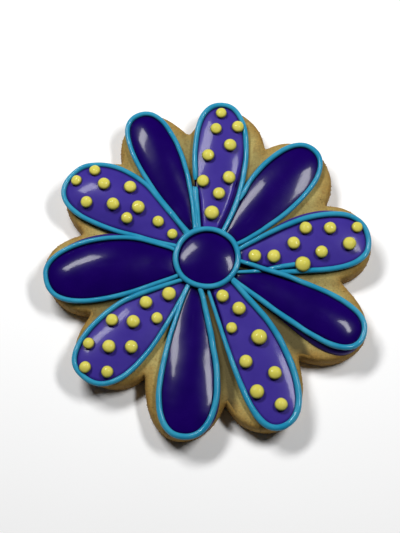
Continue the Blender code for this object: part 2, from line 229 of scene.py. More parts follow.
# %% Wires and graphs
class Wire:
    """One output socket that can be calculated with."""

    def __init__(self, graph, socket):
        self.graph, self.socket = graph, socket

    def math(self, operation, first, second):
        return self.graph.node("ShaderNodeMath", {"operation": operation}, {0: first, 1: second})

    def __add__(self, other):
        return self.math("ADD", self, other)

    def __mul__(self, other):
        return self.math("MULTIPLY", self, other)

    def __sub__(self, other):
        return self.math("SUBTRACT", self, other)

    def other(self, name):
        """Another output of the same node."""
        return Wire(self.graph, self.socket.node.outputs[name])


class Graph:
    """A node tree under construction."""

    def __init__(self, tree):
        self.tree = tree

    def join(self, value, socket):
        if isinstance(value, Wire):
            self.tree.links.new(value.socket, socket)
        else:
            socket.default_value = value

    def node(self, kind, settings=None, sockets=None, out=0):
        made = self.tree.nodes.new(kind)
        for key, value in (settings or {}).items():
            setattr(made, key, value)
        for key, value in (sockets or {}).items():
            self.join(value, made.inputs[key])
        return Wire(self, made.outputs[out]) if made.outputs else made

    def tint(self, mask, first, second):
        """The first colour where mask is 0, the second where it is 1."""
        ends = [value if isinstance(value, Wire) else (*value, 1) for value in (first, second)]
        return self.node("ShaderNodeMix", {"data_type": "RGBA"}, {0: mask, 6: ends[0], 7: ends[1]}, 2)

    def noise(self, vector, size_mm, detail=2.0, rough=0.5):
        """Cloudy noise from 0 to 1, with lumps of about this size."""
        sockets = {"Vector": vector, "Scale": 1 / (size_mm * MM), "Detail": detail, "Roughness": rough}
        return self.node("ShaderNodeTexNoise", None, sockets)

    def between(self, value, low, high):
        """0 below low, 1 above high and straight in between."""
        sockets = {"Value": value, "From Min": low, "From Max": high}
        return self.node("ShaderNodeMapRange", {"clamp": True}, sockets)


print("helpers ready")

# %% [markdown]
# ## Icing that has set
#
# Royal icing dries to a smooth skin with a soft gloss. It is never quite even: the colour pools a
# little deeper in places, the gloss breaks up over faint ripples, and the skin has a very fine
# grain. All icings here share one recipe and differ in colour, gloss and depth of the ripples.
#
# Two colours follow the shape. A pool carries an attribute called felt, the distance inwards from
# its line: beside the line the colour is darker, painted shade in the crease under the line, and
# where felt is below nothing the icing has spilt past the line and turns a lighter violet. A dot
# carries an attribute called rise, and its lowest rim is darker: a painted contact shadow where the
# drop meets the icing.

# %% Icing material
# Felt over which the painted shade beside a line fades into the pool's own colour.
CREASE_SHADE_FELT = (0.9, 1.9)
SPILT_FELT = (-0.5, -0.1)
# Rise over which the painted contact shadow at a dot's lowest rim fades out.
CONTACT_SHADE_RISE = (0.26, 0.42)


def icing(name, colour, light, rough, ripple_mm, shine, crease_shade=None, spilt=None, rim=None):
    material = bpy.data.materials.new(name)
    material.use_nodes = True
    graph = Graph(material.node_tree)
    shader = material.node_tree.nodes["Principled BSDF"]
    place = graph.node("ShaderNodeTexCoord", out="Object")
    clouds = graph.noise(place, 6.0, 3.0)
    grain = graph.noise(place, 0.35, 2.0, 0.6)
    speck = graph.between(graph.noise(place, 0.9, 1.0), 0.62, 0.78)
    tone = graph.tint(graph.between(clouds, 0.3, 0.7) * 0.7 + speck * 0.18, colour, light)
    if crease_shade:
        felt = graph.node("ShaderNodeAttribute", {"attribute_name": "felt"}, None, "Fac")
        # Painted shade: the pool darkens beside its line, in the crease under it.
        tone = graph.tint(graph.between(felt, *CREASE_SHADE_FELT), crease_shade, tone)
        tone = graph.tint(graph.between(felt, *SPILT_FELT), spilt, tone)
    if rim:
        rise = graph.node("ShaderNodeAttribute", {"attribute_name": "rise"}, None, "Fac")
        # Painted contact shadow: the lowest rim of each dot is darker.
        tone = graph.tint(graph.between(rise, *CONTACT_SHADE_RISE), rim, tone)
    ripple = graph.noise(place, ripple_mm, 1.0) * 0.9 + grain * 0.05
    bump = graph.node("ShaderNodeBump", None, {"Strength": 0.35, "Distance": 0.00012, "Height": ripple})
    graph.join(tone, shader.inputs["Base Color"])
    graph.join(clouds * 0.08 + grain * 0.06 + (rough - 0.07), shader.inputs["Roughness"])
    graph.join(bump, shader.inputs["Normal"])
    shader.inputs["Specular IOR Level"].default_value = 0.05
    shader.inputs["Coat Weight"].default_value = shine
    shader.inputs["Coat Roughness"].default_value = 0.095
    return material


# The darkest colour given to each pool icing is the painted shade beside its line.
VIOLET = icing("violet_icing", (0.039, 0.0235, 0.228), (0.05, 0.0315, 0.265), 0.3, 3.0, 0.14,
               crease_shade=(0.006, 0.003, 0.07), spilt=(0.038, 0.023, 0.19))
PURPLE = icing("purple_icing", (0.007, 0.0001, 0.08), (0.01, 0.0002, 0.1), 0.26, 3.5, 0.19,
               crease_shade=(0.002, 0.0002, 0.03), spilt=(0.032, 0.016, 0.15))
TURQUOISE = icing("turquoise_icing", (0.01, 0.215, 0.375), (0.048, 0.32, 0.465), 0.38, 1.6, 0.34)
# The last yellow colour is the painted contact shadow at the rim of each dot.
YELLOW = icing("yellow_icing", (0.58, 0.54, 0.08), (0.68, 0.61, 0.125), 0.3, 1.4, 0.2,
               rim=(0.16, 0.145, 0.02))
print("icings:", VIOLET.name, PURPLE.name, TURQUOISE.name, YELLOW.name)

# %% [markdown]
# ## Baked dough
#
# A rolled cookie is pale tan on top, browner where it is thin and where the tray was hot: along
# the upper edge and down the side. Close to, it is a crust of fine crumbs with darker and lighter
# specks. How brown a place is comes from the mesh, as an attribute called browning, so that the
# colour follows the shape. A second attribute, gloom, is painted shade: it darkens the colour of
# the deep valleys between the lines, where little light reaches.

# %% Dough material
def dough_material():
    material = bpy.data.materials.new("baked_dough")
    material.use_nodes = True
    graph = Graph(material.node_tree)
    shader = material.node_tree.nodes["Principled BSDF"]
    place = graph.node("ShaderNodeTexCoord", out="Object")
    browning = graph.node("ShaderNodeAttribute", {"attribute_name": "browning"}, None, "Fac")
    clouds = graph.noise(place, 7.0, 4.0, 0.6)
    crumb = graph.noise(place, 0.55, 3.0, 0.65)
    specks = graph.between(graph.noise(place, 1.1, 2.0), 0.6, 0.72)
    pale = graph.tint(graph.between(crumb, 0.3, 0.7), (0.29, 0.235, 0.075), (0.47, 0.375, 0.13))
    toasted = graph.tint(graph.between(crumb, 0.3, 0.7), (0.18, 0.095, 0.014), (0.37, 0.215, 0.046))
    brown = graph.between(browning + clouds * 0.8 + (crumb - 0.5) * 0.4, 0.55, 1.15)
    tone = graph.tint(brown, pale, toasted)
    tone = graph.tint(specks * 0.6, tone, (0.22, 0.12, 0.03))
    gloom = graph.node("ShaderNodeAttribute", {"attribute_name": "gloom"}, None, "Fac")
    # Painted shade: the deep valleys between the lines get a darker colour.
    tone = graph.tint(gloom * 0.9, tone, (0.055, 0.042, 0.014))
    height = crumb * 0.7 + graph.noise(place, 0.22, 2.0, 0.6) * 0.3
    bump = graph.node("ShaderNodeBump", None, {"Strength": 0.7, "Distance": 0.0003, "Height": height})
    graph.join(tone, shader.inputs["Base Color"])
    graph.join(crumb * 0.2 + 0.72, shader.inputs["Roughness"])
    graph.join(bump, shader.inputs["Normal"])
    shader.inputs["Specular IOR Level"].default_value = 0.25
    return material


DOUGH_SKIN = dough_material()
print("dough:", DOUGH_SKIN.name)

# %% [markdown]
# ## From a list of points to a piece
#
# A few small helpers are used for every piece. One makes a mesh from arrays in millimetres. Two
# begin and end a Geometry Nodes tree. One puts a tree on an object, sets its inputs and turns the
# result into a plain mesh. The last hangs a piece under the root and hides the solids it replaces.

# %% Mesh, modifier and hand-over helpers
def new_object(name, data):
    made = bpy.data.objects.new(name, data)
    bpy.context.scene.collection.objects.link(made)
    return made


def mesh_of(name, points, faces=(), edges=(), **attributes):
    """A mesh from points in millimetres, with any number of values per point."""
    data = bpy.data.meshes.new(name)
    data.from_pydata((np.asarray(points) * MM).tolist(), list(edges), [list(face) for face in faces])
    for key, values in attributes.items():
        values = np.asarray(values, np.float32)
        vectors = values.ndim == 2
        layer = data.attributes.new(key, "FLOAT_VECTOR" if vectors else "FLOAT", "POINT")
        layer.data.foreach_set("vector" if vectors else "value", values.ravel())
    return data


def new_tree(name, sizes):
    """An empty Geometry Nodes tree with named inputs. sizes gives each one's kind and value."""
    tree = bpy.data.node_groups.new(name, "GeometryNodeTree")
    tree.is_modifier = True
    tree.interface.new_socket("Geometry", in_out="OUTPUT", socket_type="NodeSocketGeometry")
    tree.interface.new_socket("Geometry", in_out="INPUT", socket_type="NodeSocketGeometry")
    for key, (kind, value) in sizes.items():
        socket = tree.interface.new_socket(key, in_out="INPUT", socket_type="NodeSocket" + kind)
        if value is not None:
            socket.default_value = value
    graph = Graph(tree)
    return graph, graph.node("NodeGroupInput")


def end_tree(graph, geometry, material):
    """Every tree ends the same way: real geometry with its material."""
    real = graph.node("GeometryNodeRealizeInstances", None, {"Geometry": geometry})
    painted = graph.node("GeometryNodeSetMaterial", None, {"Geometry": real, "Material": material})
    graph.node("NodeGroupOutput", None, {0: painted})


def grown(name, data, graph, **sizes):
    """An object made from a mesh by a tree, as a plain mesh at the origin."""
    source = new_object(name + "_source", data)
    modifier = source.modifiers.new("grow", "NODES")
    modifier.node_group = graph.tree
    sockets = {item.name: item.identifier for item in graph.tree.interface.items_tree}
    for key, value in sizes.items():
        modifier[sockets[key.replace("_", " ")]] = value
    shape = source.evaluated_get(bpy.context.evaluated_depsgraph_get())
    result = bpy.data.meshes.new_from_object(shape)
    bpy.data.objects.remove(source)
    result.name = name
    return new_object(name, result)


def hand_over(piece, slot, *nodes):
    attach(piece, "root")
    if nodes:
        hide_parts(*nodes)
    print(f"{piece.name}: {len(piece.data.polygons)} faces")
    return piece


print("mesh, tree and hand-over helpers ready")

# %% [markdown]
# ## The cookie under the icing
#
# The dough was rolled, cut with a daisy cutter and baked, so it has a flat underside, an upright
# side and a rounded upper edge. The mesh is a loft: the scalloped outline, drawn in a little more
# or less at each height, and then shrunk to the middle over the top. The outline comes from the
# table: from notch to lobe tip and back, with a soft curve.

# %% Cookie outline and loft
LOBE_STEPS = 66
NOTCH_SOFTNESS = 0.17
UNDERSIDE_SHARES = np.linspace(0.06, 0.96, 9)
SIDE_ROWS = 27
TOP_SHARES = np.linspace(0, 1, 62)[1:-1] ** 1.05
BROWN_HEIGHTS = (0, 2, 5.2, 6.6, 7.0)
BROWN_SHARES = (1.0, 0.8, 0.7, 0.66, 0.5)
BROWN_UNDERSIDE = 0.9
TOP_FADE = 8
GLOOM_REACH, GLOOM_FADE = 7.2, 4.2
CREVICE_REACH, CREVICE_FADE = 2.5, 1.2
GLOOM_FROM = 6.8
DOUGH_PROFILE = np.array(
    [(0.0, 0.9), (0.12, 0.5), (0.4, 0.2), (1.2, 0.0), (3.0, -0.1), (4.8, 0.0), (5.7, 0.12), (6.3, 0.4),
     (6.7, 0.85), (6.92, 1.4), (7.0, 2.1)]
)


def cookie_outline():
    points = []
    for name in NAMES:
        petal = PETALS[name]
        before, lobe = PETALS[neighbour(name, -1)].notch, petal.lobe
        start = before.bearing - (360 if before.bearing > petal.notch.bearing else 0)
        share = np.arange(LOBE_STEPS) * 2 / LOBE_STEPS - 1
        low = np.where(share < 0, before.radius, petal.notch.radius)
        reach = np.where(share < 0, lobe.bearing - start, petal.notch.bearing - lobe.bearing)
        arc = np.hypot(np.cos(share * np.pi / 2), NOTCH_SOFTNESS) - NOTCH_SOFTNESS
        bulge = (arc / arc.max()) ** np.where(share < 0, lobe.left, lobe.right)
        points.append(polar(low + (lobe.radius - low) * bulge, lobe.bearing + reach * share))
    return np.concatenate(points)


def bands(count, rows):
    """Faces between rows of closed rings of count points, each ring above or inside the last."""
    here = np.arange(count)
    after = (here + 1) % count
    faces = []
    for row in range(rows - 1):
        low, high = row * count, (row + 1) * count
        faces.extend(np.stack([low + after, low + here, high + here, high + after], -1).tolist())
    return faces


def valley_gloom(points):
    """How much painted shade each point gets: most where the lines of two petals stand close on both sides.
    """
    near = []
    for name in NAMES:
        lines = np.concatenate([side_points(name, turn, 24) for turn in (-1, 1)])
        near.append(np.hypot(*(points[:, None] - lines[None]).T).min(0))
    second = np.sort(near, 0)[1]
    bearing = np.degrees(np.arctan2(points[:, 0], points[:, 1]))
    notches = [petal.notch for petal in PETALS.values()]
    apart = np.abs((bearing[:, None] - [notch.bearing for notch in notches] + 180) % 360 - 180)
    share = np.array([notch.gloom for notch in notches])[apart.argmin(1)]
    valley = share * (GLOOM_REACH - second) / GLOOM_FADE
    crevice = (CREVICE_REACH - second) / CREVICE_FADE
    return np.clip(np.maximum(valley, crevice), 0, 1)


def cookie_mesh():
    outline = cookie_outline()
    along = np.roll(outline, -1, 0) - np.roll(outline, 1, 0)
    outwards = np.stack([-along[:, 1], along[:, 0]], -1) / np.hypot(*along.T)[:, None]
    count = len(outline)
    rows, brown = [], []
    foot = outline - outwards * DOUGH_PROFILE[0][1]
    for share in UNDERSIDE_SHARES:
        rows.append(np.column_stack([foot * share, np.zeros(count)]))
        brown.append(np.full(count, BROWN_UNDERSIDE))
    for place in np.linspace(0, len(DOUGH_PROFILE) - 1, SIDE_ROWS):
        height, inset = (np.interp(place, range(len(DOUGH_PROFILE)), column) for column in DOUGH_PROFILE.T)
        rows.append(np.column_stack([outline - outwards * inset, np.full(count, height)]))
        brown.append(np.full(count, np.interp(height, BROWN_HEIGHTS, BROWN_SHARES)))
    rim = outline - outwards * DOUGH_PROFILE[-1][1]
    for share in TOP_SHARES:
        rows.append(np.column_stack([rim * (1 - share), np.full(count, DOUGH)]))
        brown.append(np.full(count, BROWN_SHARES[-1] * max(0, 1 - share * TOP_FADE)))
    points = np.concatenate(rows)
    faces = bands(count, len(rows))
    faces.append(list(range(count)))
    faces.append([len(points) - count + i for i in range(count)][::-1])
    # Painted shade for the valleys, on the top of the dough only.
    gloom = np.concatenate([valley_gloom(row[:, :2]) * (row[0, 2] > GLOOM_FROM) for row in rows])
    return mesh_of("cookie", points, faces, browning=np.concatenate(brown), gloom=gloom)


print("outline points:", len(cookie_outline()))

# %% [markdown]
# ## Relief of the crust
#
# A Geometry Nodes tree lifts and sinks the crust along its normals: broad swells where the dough
# rose, and a fine crumb on top. The underside stays flat, because the tray was.

# %% Crust tree
def crust_tree():
    graph, given = new_tree("crust", {
        "Swell": ("Float", 0.2), "Crumb": ("Float", 0.05), "Skin": ("Material", None),
    })
    spot = graph.node("GeometryNodeInputPosition")
    normal = graph.node("GeometryNodeInputNormal")
    swell = (graph.noise(spot, 9.0, 2.0) - 0.5) * given.other("Swell")
    crumb = (graph.noise(spot, 1.3, 4.0, 0.62) - 0.5) * given.other("Crumb")
    height = graph.node("ShaderNodeSeparateXYZ", None, {0: spot}, "Z")
    free = graph.between(height, 0.1 * MM, 1.0 * MM)
    lift = (swell + crumb) * free * MM
    move = graph.node("ShaderNodeVectorMath", {"operation": "SCALE"}, {0: normal, "Scale": lift})
    set_position = graph.node("GeometryNodeSetPosition", None, {"Geometry": given, "Offset": move})
    smooth = graph.node("GeometryNodeSetShadeSmooth", None, {"Geometry": set_position})
    end_tree(graph, smooth, given.other("Skin"))
    return graph


cookie = grown("dough", cookie_mesh(), crust_tree(), Swell=0.5, Crumb=0.22, Skin=DOUGH_SKIN)
hand_over(cookie, "biscuit", "cookie_base")

# %% [markdown]
# ## Pools of icing
#
# Inside each line lies a pool of runny icing that has set. Surface tension gave it a round edge
# and a dome that is higher where the petal is wider. The mesh is a set of nested contours, from
# the edge to a spine between the two sides, which ends where the petal is widest. Its height is one
# rule: every piece of the edge holds the icing down, the near ones most. That adds up to a smooth
# felt distance from the edge, which has no crease along the middle as the plain distance would
# have. The dome climbs steeply beside the lines and is level halfway between them.
#
# On some petals the icing ran out past the line, and on some it stays short of it at the root,
# where a flatter layer of dark icing shows beside it; that layer is partly painted shade in the gap.

# %% Contours of a pool
STEPS = 80
POOL_RINGS = np.concatenate([np.linspace(0, 0.2, 9)[:-1], np.linspace(0.2, 1, 21)])
OVER_LINE, SHADE_BED_OVER_LINE = 0.35, 0.3
SPINE_FOOT = 0.15
SPINE_SOFT = 0.1
UNDER_RING = 0.88
EDGE_ROUND = 1.2
EDGE_TUCK = 0.03
EDGE_SUNK, TUCK_SUNK = 0.1, 0.25
SHADE_BED_PUFF = -0.015


def moved_out(line, turn, distance):
    along = np.gradient(line, axis=0)
    outwards = np.stack([along[:, 1], -along[:, 0]], -1) * turn / np.hypot(*along.T)[:, None]
    return line + outwards * distance[:, None]


def felt_distance(points, edge):
    """Distance from a closed edge: the pull of every stretch of it, summed without gaps."""
    ends = np.roll(edge, -1, 0)
    length = np.hypot(*(ends - edge).T)
    along = (ends - edge) / length[:, None]
    reach = points[:, None] - edge[None]
    first = -(reach * along).sum(-1)
    last = first + length
    aside = np.maximum(np.abs(reach[..., 0] * along[:, 1] - reach[..., 1] * along[:, 0]), 0.01) ** 2
    pull = (last / np.sqrt(aside + last**2) - first / np.sqrt(aside + first**2)) / aside
    return np.sqrt(2 / pull.sum(1))


def pool_sides(name):
    """Edges of a pool and of the dark icing under it, which partly stands in for shade, the gaps between
    those, and the spine in the middle.
    """
    petal = PETALS[name]
    t = np.linspace(0, 1, STEPS + 1)
    lines = [side_points(name, turn, STEPS) for turn in (-1, 1)]
    middle = (lines[0] + lines[1]) / 2
    edges, shade_bed, gaps = [], [], []
    for turn, side, line in zip((-1, 1), (petal.left, petal.right), lines):
        far, peak = side.spill
        spill = far * np.sin(np.pi * t ** (math.log(0.5) / math.log(peak))) ** 2
        short, until = side.inset
        gap = short * np.clip(2 - 2 * t / (until or 1), 0, 1)
        gaps.append(gap - spill)
        edges.append(moved_out(line, turn, OVER_LINE + spill - gap))
        shade_bed.append(moved_out(line, turn, np.full(STEPS + 1, SHADE_BED_OVER_LINE)))
    loop = np.concatenate([edges[0], edges[1][:-1][::-1]])
    widest = t[1 + felt_distance(middle[1:-1], loop).argmax()]
    place = np.minimum(0.5 * (t + SPINE_FOOT + np.hypot(t - SPINE_FOOT, SPINE_SOFT)), widest)
    print(f"petal {name} is widest at {widest:.2f} of its length")
    spine = np.stack([np.interp(place, t, middle[:, axis]) for axis in (0, 1)], -1)
    for edge in edges + shade_bed:
        edge[0] *= UNDER_RING
    return edges, shade_bed, gaps, spine


def icing_height(distance, middle, puff):
    """A round edge, and a dome that is steep beside the lines and level halfway between them."""
    edge = 1 - np.clip(distance / EDGE_ROUND, 0, 1)
    shoulder = DOUGH - EDGE_SUNK + (POOL_SHOULDER - DOUGH + EDGE_SUNK) * np.sqrt(1 - edge**2)
    share = np.clip(distance / middle, 0, 1)
    return shoulder + puff * middle**2 * share * (np.sqrt(share**2 + 8) - share) / 2


def pool_mesh(edge, spine, puff, gap=0):
    """A domed pool from its edge, the spine point that each edge point leads to, and its gap to the line."""
    rows = [np.column_stack([edge + (spine - edge) * EDGE_TUCK, np.full(len(edge), DOUGH - TUCK_SUNK)])]
    rows.append(np.column_stack([edge, np.full(len(edge), DOUGH - EDGE_SUNK)]))
    felt = [np.zeros(2 * len(edge))]
    middle = felt_distance(spine, edge)
    for share in POOL_RINGS[1:-1]:
        ring = edge + (spine - edge) * share
        felt.append(felt_distance(ring, edge))
        rows.append(np.column_stack([ring, icing_height(felt[-1], middle, puff)]))
    felt = np.concatenate(felt)
    points = np.concatenate(rows)
    count = len(edge)
    gap = np.broadcast_to(gap, count)
    faces = bands(count, len(rows))
    faces.append(list(range(count)))
    tops, picked, where = np.unique(spine.round(5), axis=0, return_index=True, return_inverse=True)
    where = where.ravel() + len(points)
    last = len(points) - count
    for i in range(count):
        j = (i + 1) % count
        ring = [last + j, last + i, where[i]] + ([where[j]] if where[i] != where[j] else [])
        faces.append([int(corner) for corner in ring])
    felt = np.concatenate([felt, felt_distance(tops, edge)])
    tops = np.column_stack([tops, icing_height(felt[len(points):], middle[picked], puff)])
    felt = felt + np.concatenate([np.tile(gap, len(rows)), gap[picked]])
    return mesh_of("pool", np.concatenate([points, tops]), faces, felt=felt)


print("rings in a pool:", len(POOL_RINGS))

# %% Skin tree
def skin_tree():
    graph, given = new_tree("icing_skin", {
        "Waves": ("Float", 0.1), "Icing": ("Material", None),
    })
    spot = graph.node("GeometryNodeInputPosition")
    wave = (graph.noise(spot, 7.5, 1.0) - 0.5) * given.other("Waves") * MM
    offset = graph.node("ShaderNodeCombineXYZ", None, {"Z": wave})
    moved = graph.node("GeometryNodeSetPosition", None, {"Geometry": given, "Offset": offset})
    smooth = graph.node("GeometryNodeSetShadeSmooth", None, {"Geometry": moved})
    end_tree(graph, smooth, given.other("Icing"))
    return graph


SKIN = skin_tree()
print("nodes in the skin tree:", len(SKIN.tree.nodes))

# %% Make the pools
WAVES, SHADE_BED_WAVES = 0.14, 0.1
CENTRE_OVER, CENTRE_PUFF = 1.05, 0.057
pools = {}
for name in NAMES:
    edges, shade_bed, gaps, spine = pool_sides(name)
    loop, outer, gap, centres = (
        np.concatenate([left, right[:-1][::-1]]) for left, right in (edges, shade_bed, gaps, (spine, spine)))
    dotted = bool(PETALS[name].dots)
    data = pool_mesh(loop, centres, PETALS[name].puff, gap)
    pool = grown(f"petal_{name}_pool", data, SKIN, Waves=WAVES, Icing=VIOLET if dotted else PURPLE)
    pools[name] = hand_over(pool, "violet_icing" if dotted else "purple_icing", f"petal_{name}_icing")
    if PETALS[name].left.inset[0] or PETALS[name].right.inset[0]:
        # The dark icing under the pool also stands in for the shade in the gap beside it.
        under = pool_mesh(outer, centres, SHADE_BED_PUFF)
        under = grown(f"petal_{name}_bed", under, SKIN, Waves=SHADE_BED_WAVES, Icing=PURPLE)
        hand_over(under, "purple_icing", f"petal_{name}_icing")

turn = np.linspace(0, math.tau, 96, endpoint=False)
ring_path = np.stack([RING_ACROSS * np.sin(turn), RING_DEEP * np.cos(turn)], -1)
data = pool_mesh(ring_path * CENTRE_OVER, ring_path * 0, CENTRE_PUFF)
centre = grown("centre_pool", data, SKIN, Waves=WAVES, Icing=PURPLE)
pools["centre"] = hand_over(centre, "purple_icing", "centre_icing")

# %% [markdown]
# ## How high the icing stands
#
# A line lies on whatever is below it, so its path follows the pool under it. A ray straight down
# finds that height. The heights are then averaged along the path, because stiff icing bridges
# small dips.

# %% Drape a path
RAY_START = 30
PATH_AVERAGED = 4


def surface(spot, names):
    """Height of the highest of these pools under a spot, or of the dough."""
    best = DOUGH
    for name in names:
        origin = (spot[0] * MM, spot[1] * MM, RAY_START * MM)
        hit, place, normal, index = pools[name].ray_cast(origin, (0, 0, -1))
        if hit:
            best = max(best, place.z / MM)
    return best


def averaged(values, reach):
    padded = np.pad(values, reach, mode="edge")
    return np.convolve(padded, np.ones(2 * reach + 1) / (2 * reach + 1), "valid")


def climb(radius):
    """Share of its lift that a crossing strand has at this distance from the centre."""
    foot, up, down, end = BRIDGE
    share = np.clip(np.minimum((radius - foot) / (up - foot), (end - radius) / (end - down)), 0, 1)
    return share * share * (3 - 2 * share)


def slim(radius, thin):
    """Thickness of a line compared with its usual one: it starts thinner at the ring."""
    foot, over = thin
    return foot + (1 - foot) * np.clip((radius - FOOT) / over, 0, 1)


print("icing stands", round(surface((0, 0), ["centre"]), 2), "mm high in the middle")

# %% [markdown]
# ## Piped lines
#
# A piped line is a bead along a path. A hand is never quite steady and never presses quite
# evenly, so the bead wanders by a tenth of a millimetre and swells and thins along its way. The
# Geometry Nodes tree takes a path of points, each with its own thickness, wobbles it with noise,
# sweeps a circle along it and closes its ends.
#
# Three lines have a gap. BREAKS says on which side of which petal it is, at what distance from the
# centre, half how long, and how thin the line's ends are there. They thicken again within
# BREAK_TAPER millimetres.

# %% Bead tree
def bead_tree():
    graph, given = new_tree("piped_bead", {
        "Thickness": ("Float", BEAD * MM), "Wander": ("Float", 0.5 * MM), "Swelling": ("Float", 0.3),
        "Sides": ("Int", 16), "Seed": ("Float", 0.0), "Icing": ("Material", None),
    })
    spot = graph.node("GeometryNodeInputPosition")
    four = {"noise_dimensions": "4D"}
    sockets = {"Vector": spot, "W": given.other("Seed"), "Scale": 110.0, "Detail": 1.0}
    clouds = graph.node("ShaderNodeTexNoise", four, sockets, "Color")
    centred = graph.node("ShaderNodeVectorMath", {"operation": "SUBTRACT"}, {0: clouds, 1: (0.5,) * 3})
    drift = graph.node(
        "ShaderNodeVectorMath", {"operation": "SCALE"}, {0: centred, "Scale": given.other("Wander")})
    path = graph.node("GeometryNodeMeshToCurve", None, {0: given})
    path = graph.node("GeometryNodeSetPosition", None, {"Geometry": path, "Offset": drift})
    sockets = {"Vector": spot, "W": given.other("Seed") + 7.0, "Scale": 170.0, "Detail": 2.0}
    uneven = graph.node("ShaderNodeTexNoise", four, sockets)
    weight = graph.node("GeometryNodeInputNamedAttribute", {"data_type": "FLOAT"}, {"Name": "weight"})
    radius = ((uneven - 0.5) * given.other("Swelling") + 1) * weight * given.other("Thickness")
    sockets = {"Resolution": given.other("Sides"), "Radius": 1.0}
    circle = graph.node("GeometryNodeCurvePrimitiveCircle", {"mode": "RADIUS"}, sockets)
    sockets = {"Curve": path, "Profile Curve": circle, "Scale": radius, "Fill Caps": True}
    bead = graph.node("GeometryNodeCurveToMesh", None, sockets)
    smooth = graph.node("GeometryNodeSetShadeSmooth", None, {"Geometry": bead})
    end_tree(graph, smooth, given.other("Icing"))
    return graph


BEADS = bead_tree()
print("nodes in the bead tree:", len(BEADS.tree.nodes))

# %% Path of each line
BEAD_SEAT = 0.78
LINE_STEPS = 100
RING_HEIGHT, RING_THICK = 9.1, 1.02
RING_SEED = 20.0
BREAK_TAPER = 4
NO_BREAK = 9
BREAKS = {"a": (-1, 24.8, 0.8, 0.6), "b": (-1, 14.0, 6.8, 0.25), "c": (1, 14.0, 7.0, 0.5)}


def line_path(name):
    """Points of a petal's line in millimetres, from one foot round the tip to the other."""
    petal = PETALS[name]
    sides = [side_points(name, turn, LINE_STEPS, not crosses(name, turn)) for turn in (-1, 1)]
    path = np.concatenate([sides[0], sides[1][-2::-1]])
    radius = np.hypot(*path.T)
    carried = [name, CROSSED] if crosses(name, -1) else [name]
    below = averaged(np.array([surface(spot, carried) for spot in path]), PATH_AVERAGED)
    on_left = np.arange(len(path)) <= LINE_STEPS
    weight = np.where(on_left, slim(radius, petal.left.thin), slim(radius, petal.right.thin)) * petal.press
    open_here = np.zeros(len(path), bool)
    if name in BREAKS:
        side, middle, half, end = BREAKS[name]
        off = np.where(on_left == (side < 0), np.abs(radius - middle) - half, NO_BREAK)
        open_here = off < 0
        weight = weight * np.clip(end + off / BREAK_TAPER, end, 1)
    lift = np.where(on_left, petal.left.lift, petal.right.lift) * climb(radius)
    return np.column_stack([path, below + BEAD_SEAT + lift]), weight, open_here


def chain(count, closed=False):
    return [(i, (i + 1) % count) for i in range(count if closed else count - 1)]


print("points in a line:", 2 * LINE_STEPS + 1)

# %% Make the lines
for seed, name in enumerate(NAMES):
    path, weight, open_here = line_path(name)
    edges = [pair for pair in chain(len(path)) if not open_here[list(pair)].any()]
    data = mesh_of("path", path, edges=edges, weight=weight)
    line = grown(f"petal_{name}_line", data, BEADS, Seed=float(seed), Icing=TURQUOISE)
    hand_over(line, "turquoise_icing", f"petal_{name}_outline")

path = np.column_stack([ring_path, np.full(len(ring_path), RING_HEIGHT)])
data = mesh_of("path", path, edges=chain(len(path), True), weight=np.full(len(path), RING_THICK))
ring = grown("ring_line", data, BEADS, Seed=RING_SEED, Icing=TURQUOISE)
hand_over(ring, "turquoise_icing", "centre_ring")

# %% [markdown]
# ## Webs
#
# Where two lines ran into each other while still wet, the crease between them filled up. A web is
# a flatter bead along the dividing line, from the ring to where the two lines part.

# %% Webs between lines
WEBS = {"j": (24.0, 0.9), "i": (19.0, 1.05)}
WEB_STEPS = 40
WEB_SEED = 40.0
WEB_SEAT = 0.7
WEB_BESIDE = (-0.8, 0.8)
WEB_THICK = np.clip(np.linspace(1.3, 0.3, WEB_STEPS), 0, 1)
for seed, (name, (until, thick)) in enumerate(WEBS.items()):
    start, normal = divide(name)
    along = np.array([normal[1], -normal[0]])
    places = start + np.linspace(0, until - FOOT, WEB_STEPS)[:, None] * along
    pair = [name, neighbour(name, 1)]
    beside = np.array([[surface(spot + normal * step, pair) for spot in places] for step in WEB_BESIDE])
    path = np.column_stack([places, averaged(beside.mean(0), PATH_AVERAGED) + WEB_SEAT])
    data = mesh_of("path", path, edges=chain(WEB_STEPS), weight=thick * WEB_THICK)
    hand_over(grown(f"web_{name}", data, BEADS, Seed=WEB_SEED + seed, Icing=TURQUOISE), "turquoise_icing")

# %% [markdown]
# ## The short strand
#
# Where the two lines cross, the lower one was piped in two goes. This short strand comes from the
# ring, runs under the crossing line and ends inside the petal, at the largest dot.

# %% Short strand
STRAND = np.array([(8.7, -4.5), (12.5, -4.4), (15.7, -3.9), (18.7, -3.2), (22.3, -2.8), (27.6, -2.0)])
STRAND_STEPS = 40
STRAND_SEED = 31.0
STRAND_SEAT = 0.5
STRAND_THICK = np.linspace(0.6, 0.95, STRAND_STEPS)
CORNERS_AVERAGED = 3
steps = np.linspace(0, len(STRAND) - 1, STRAND_STEPS)
strand = np.stack([np.interp(steps, range(len(STRAND)), column) for column in STRAND.T], -1)
strand = np.stack([averaged(column, CORNERS_AVERAGED) for column in strand.T], -1)
below = averaged(np.array([surface(spot, ["c", "d"]) for spot in strand]), PATH_AVERAGED)
path = np.column_stack([strand, below + STRAND_SEAT])
data = mesh_of("path", path, edges=chain(STRAND_STEPS), weight=STRAND_THICK)
hand_over(grown("petal_c_strand", data, BEADS, Seed=STRAND_SEED, Icing=TURQUOISE), "turquoise_icing")

# %% [markdown]
# ## Piped dots
#
# Each dot is a drop from a round tip: a ball that has sagged a little and sits in the wet icing.
# The tree puts one drop on every point, as large as the point says and upright on the slope
# below it, turns each at random, and pushes the skins in and out a little so that no two match.

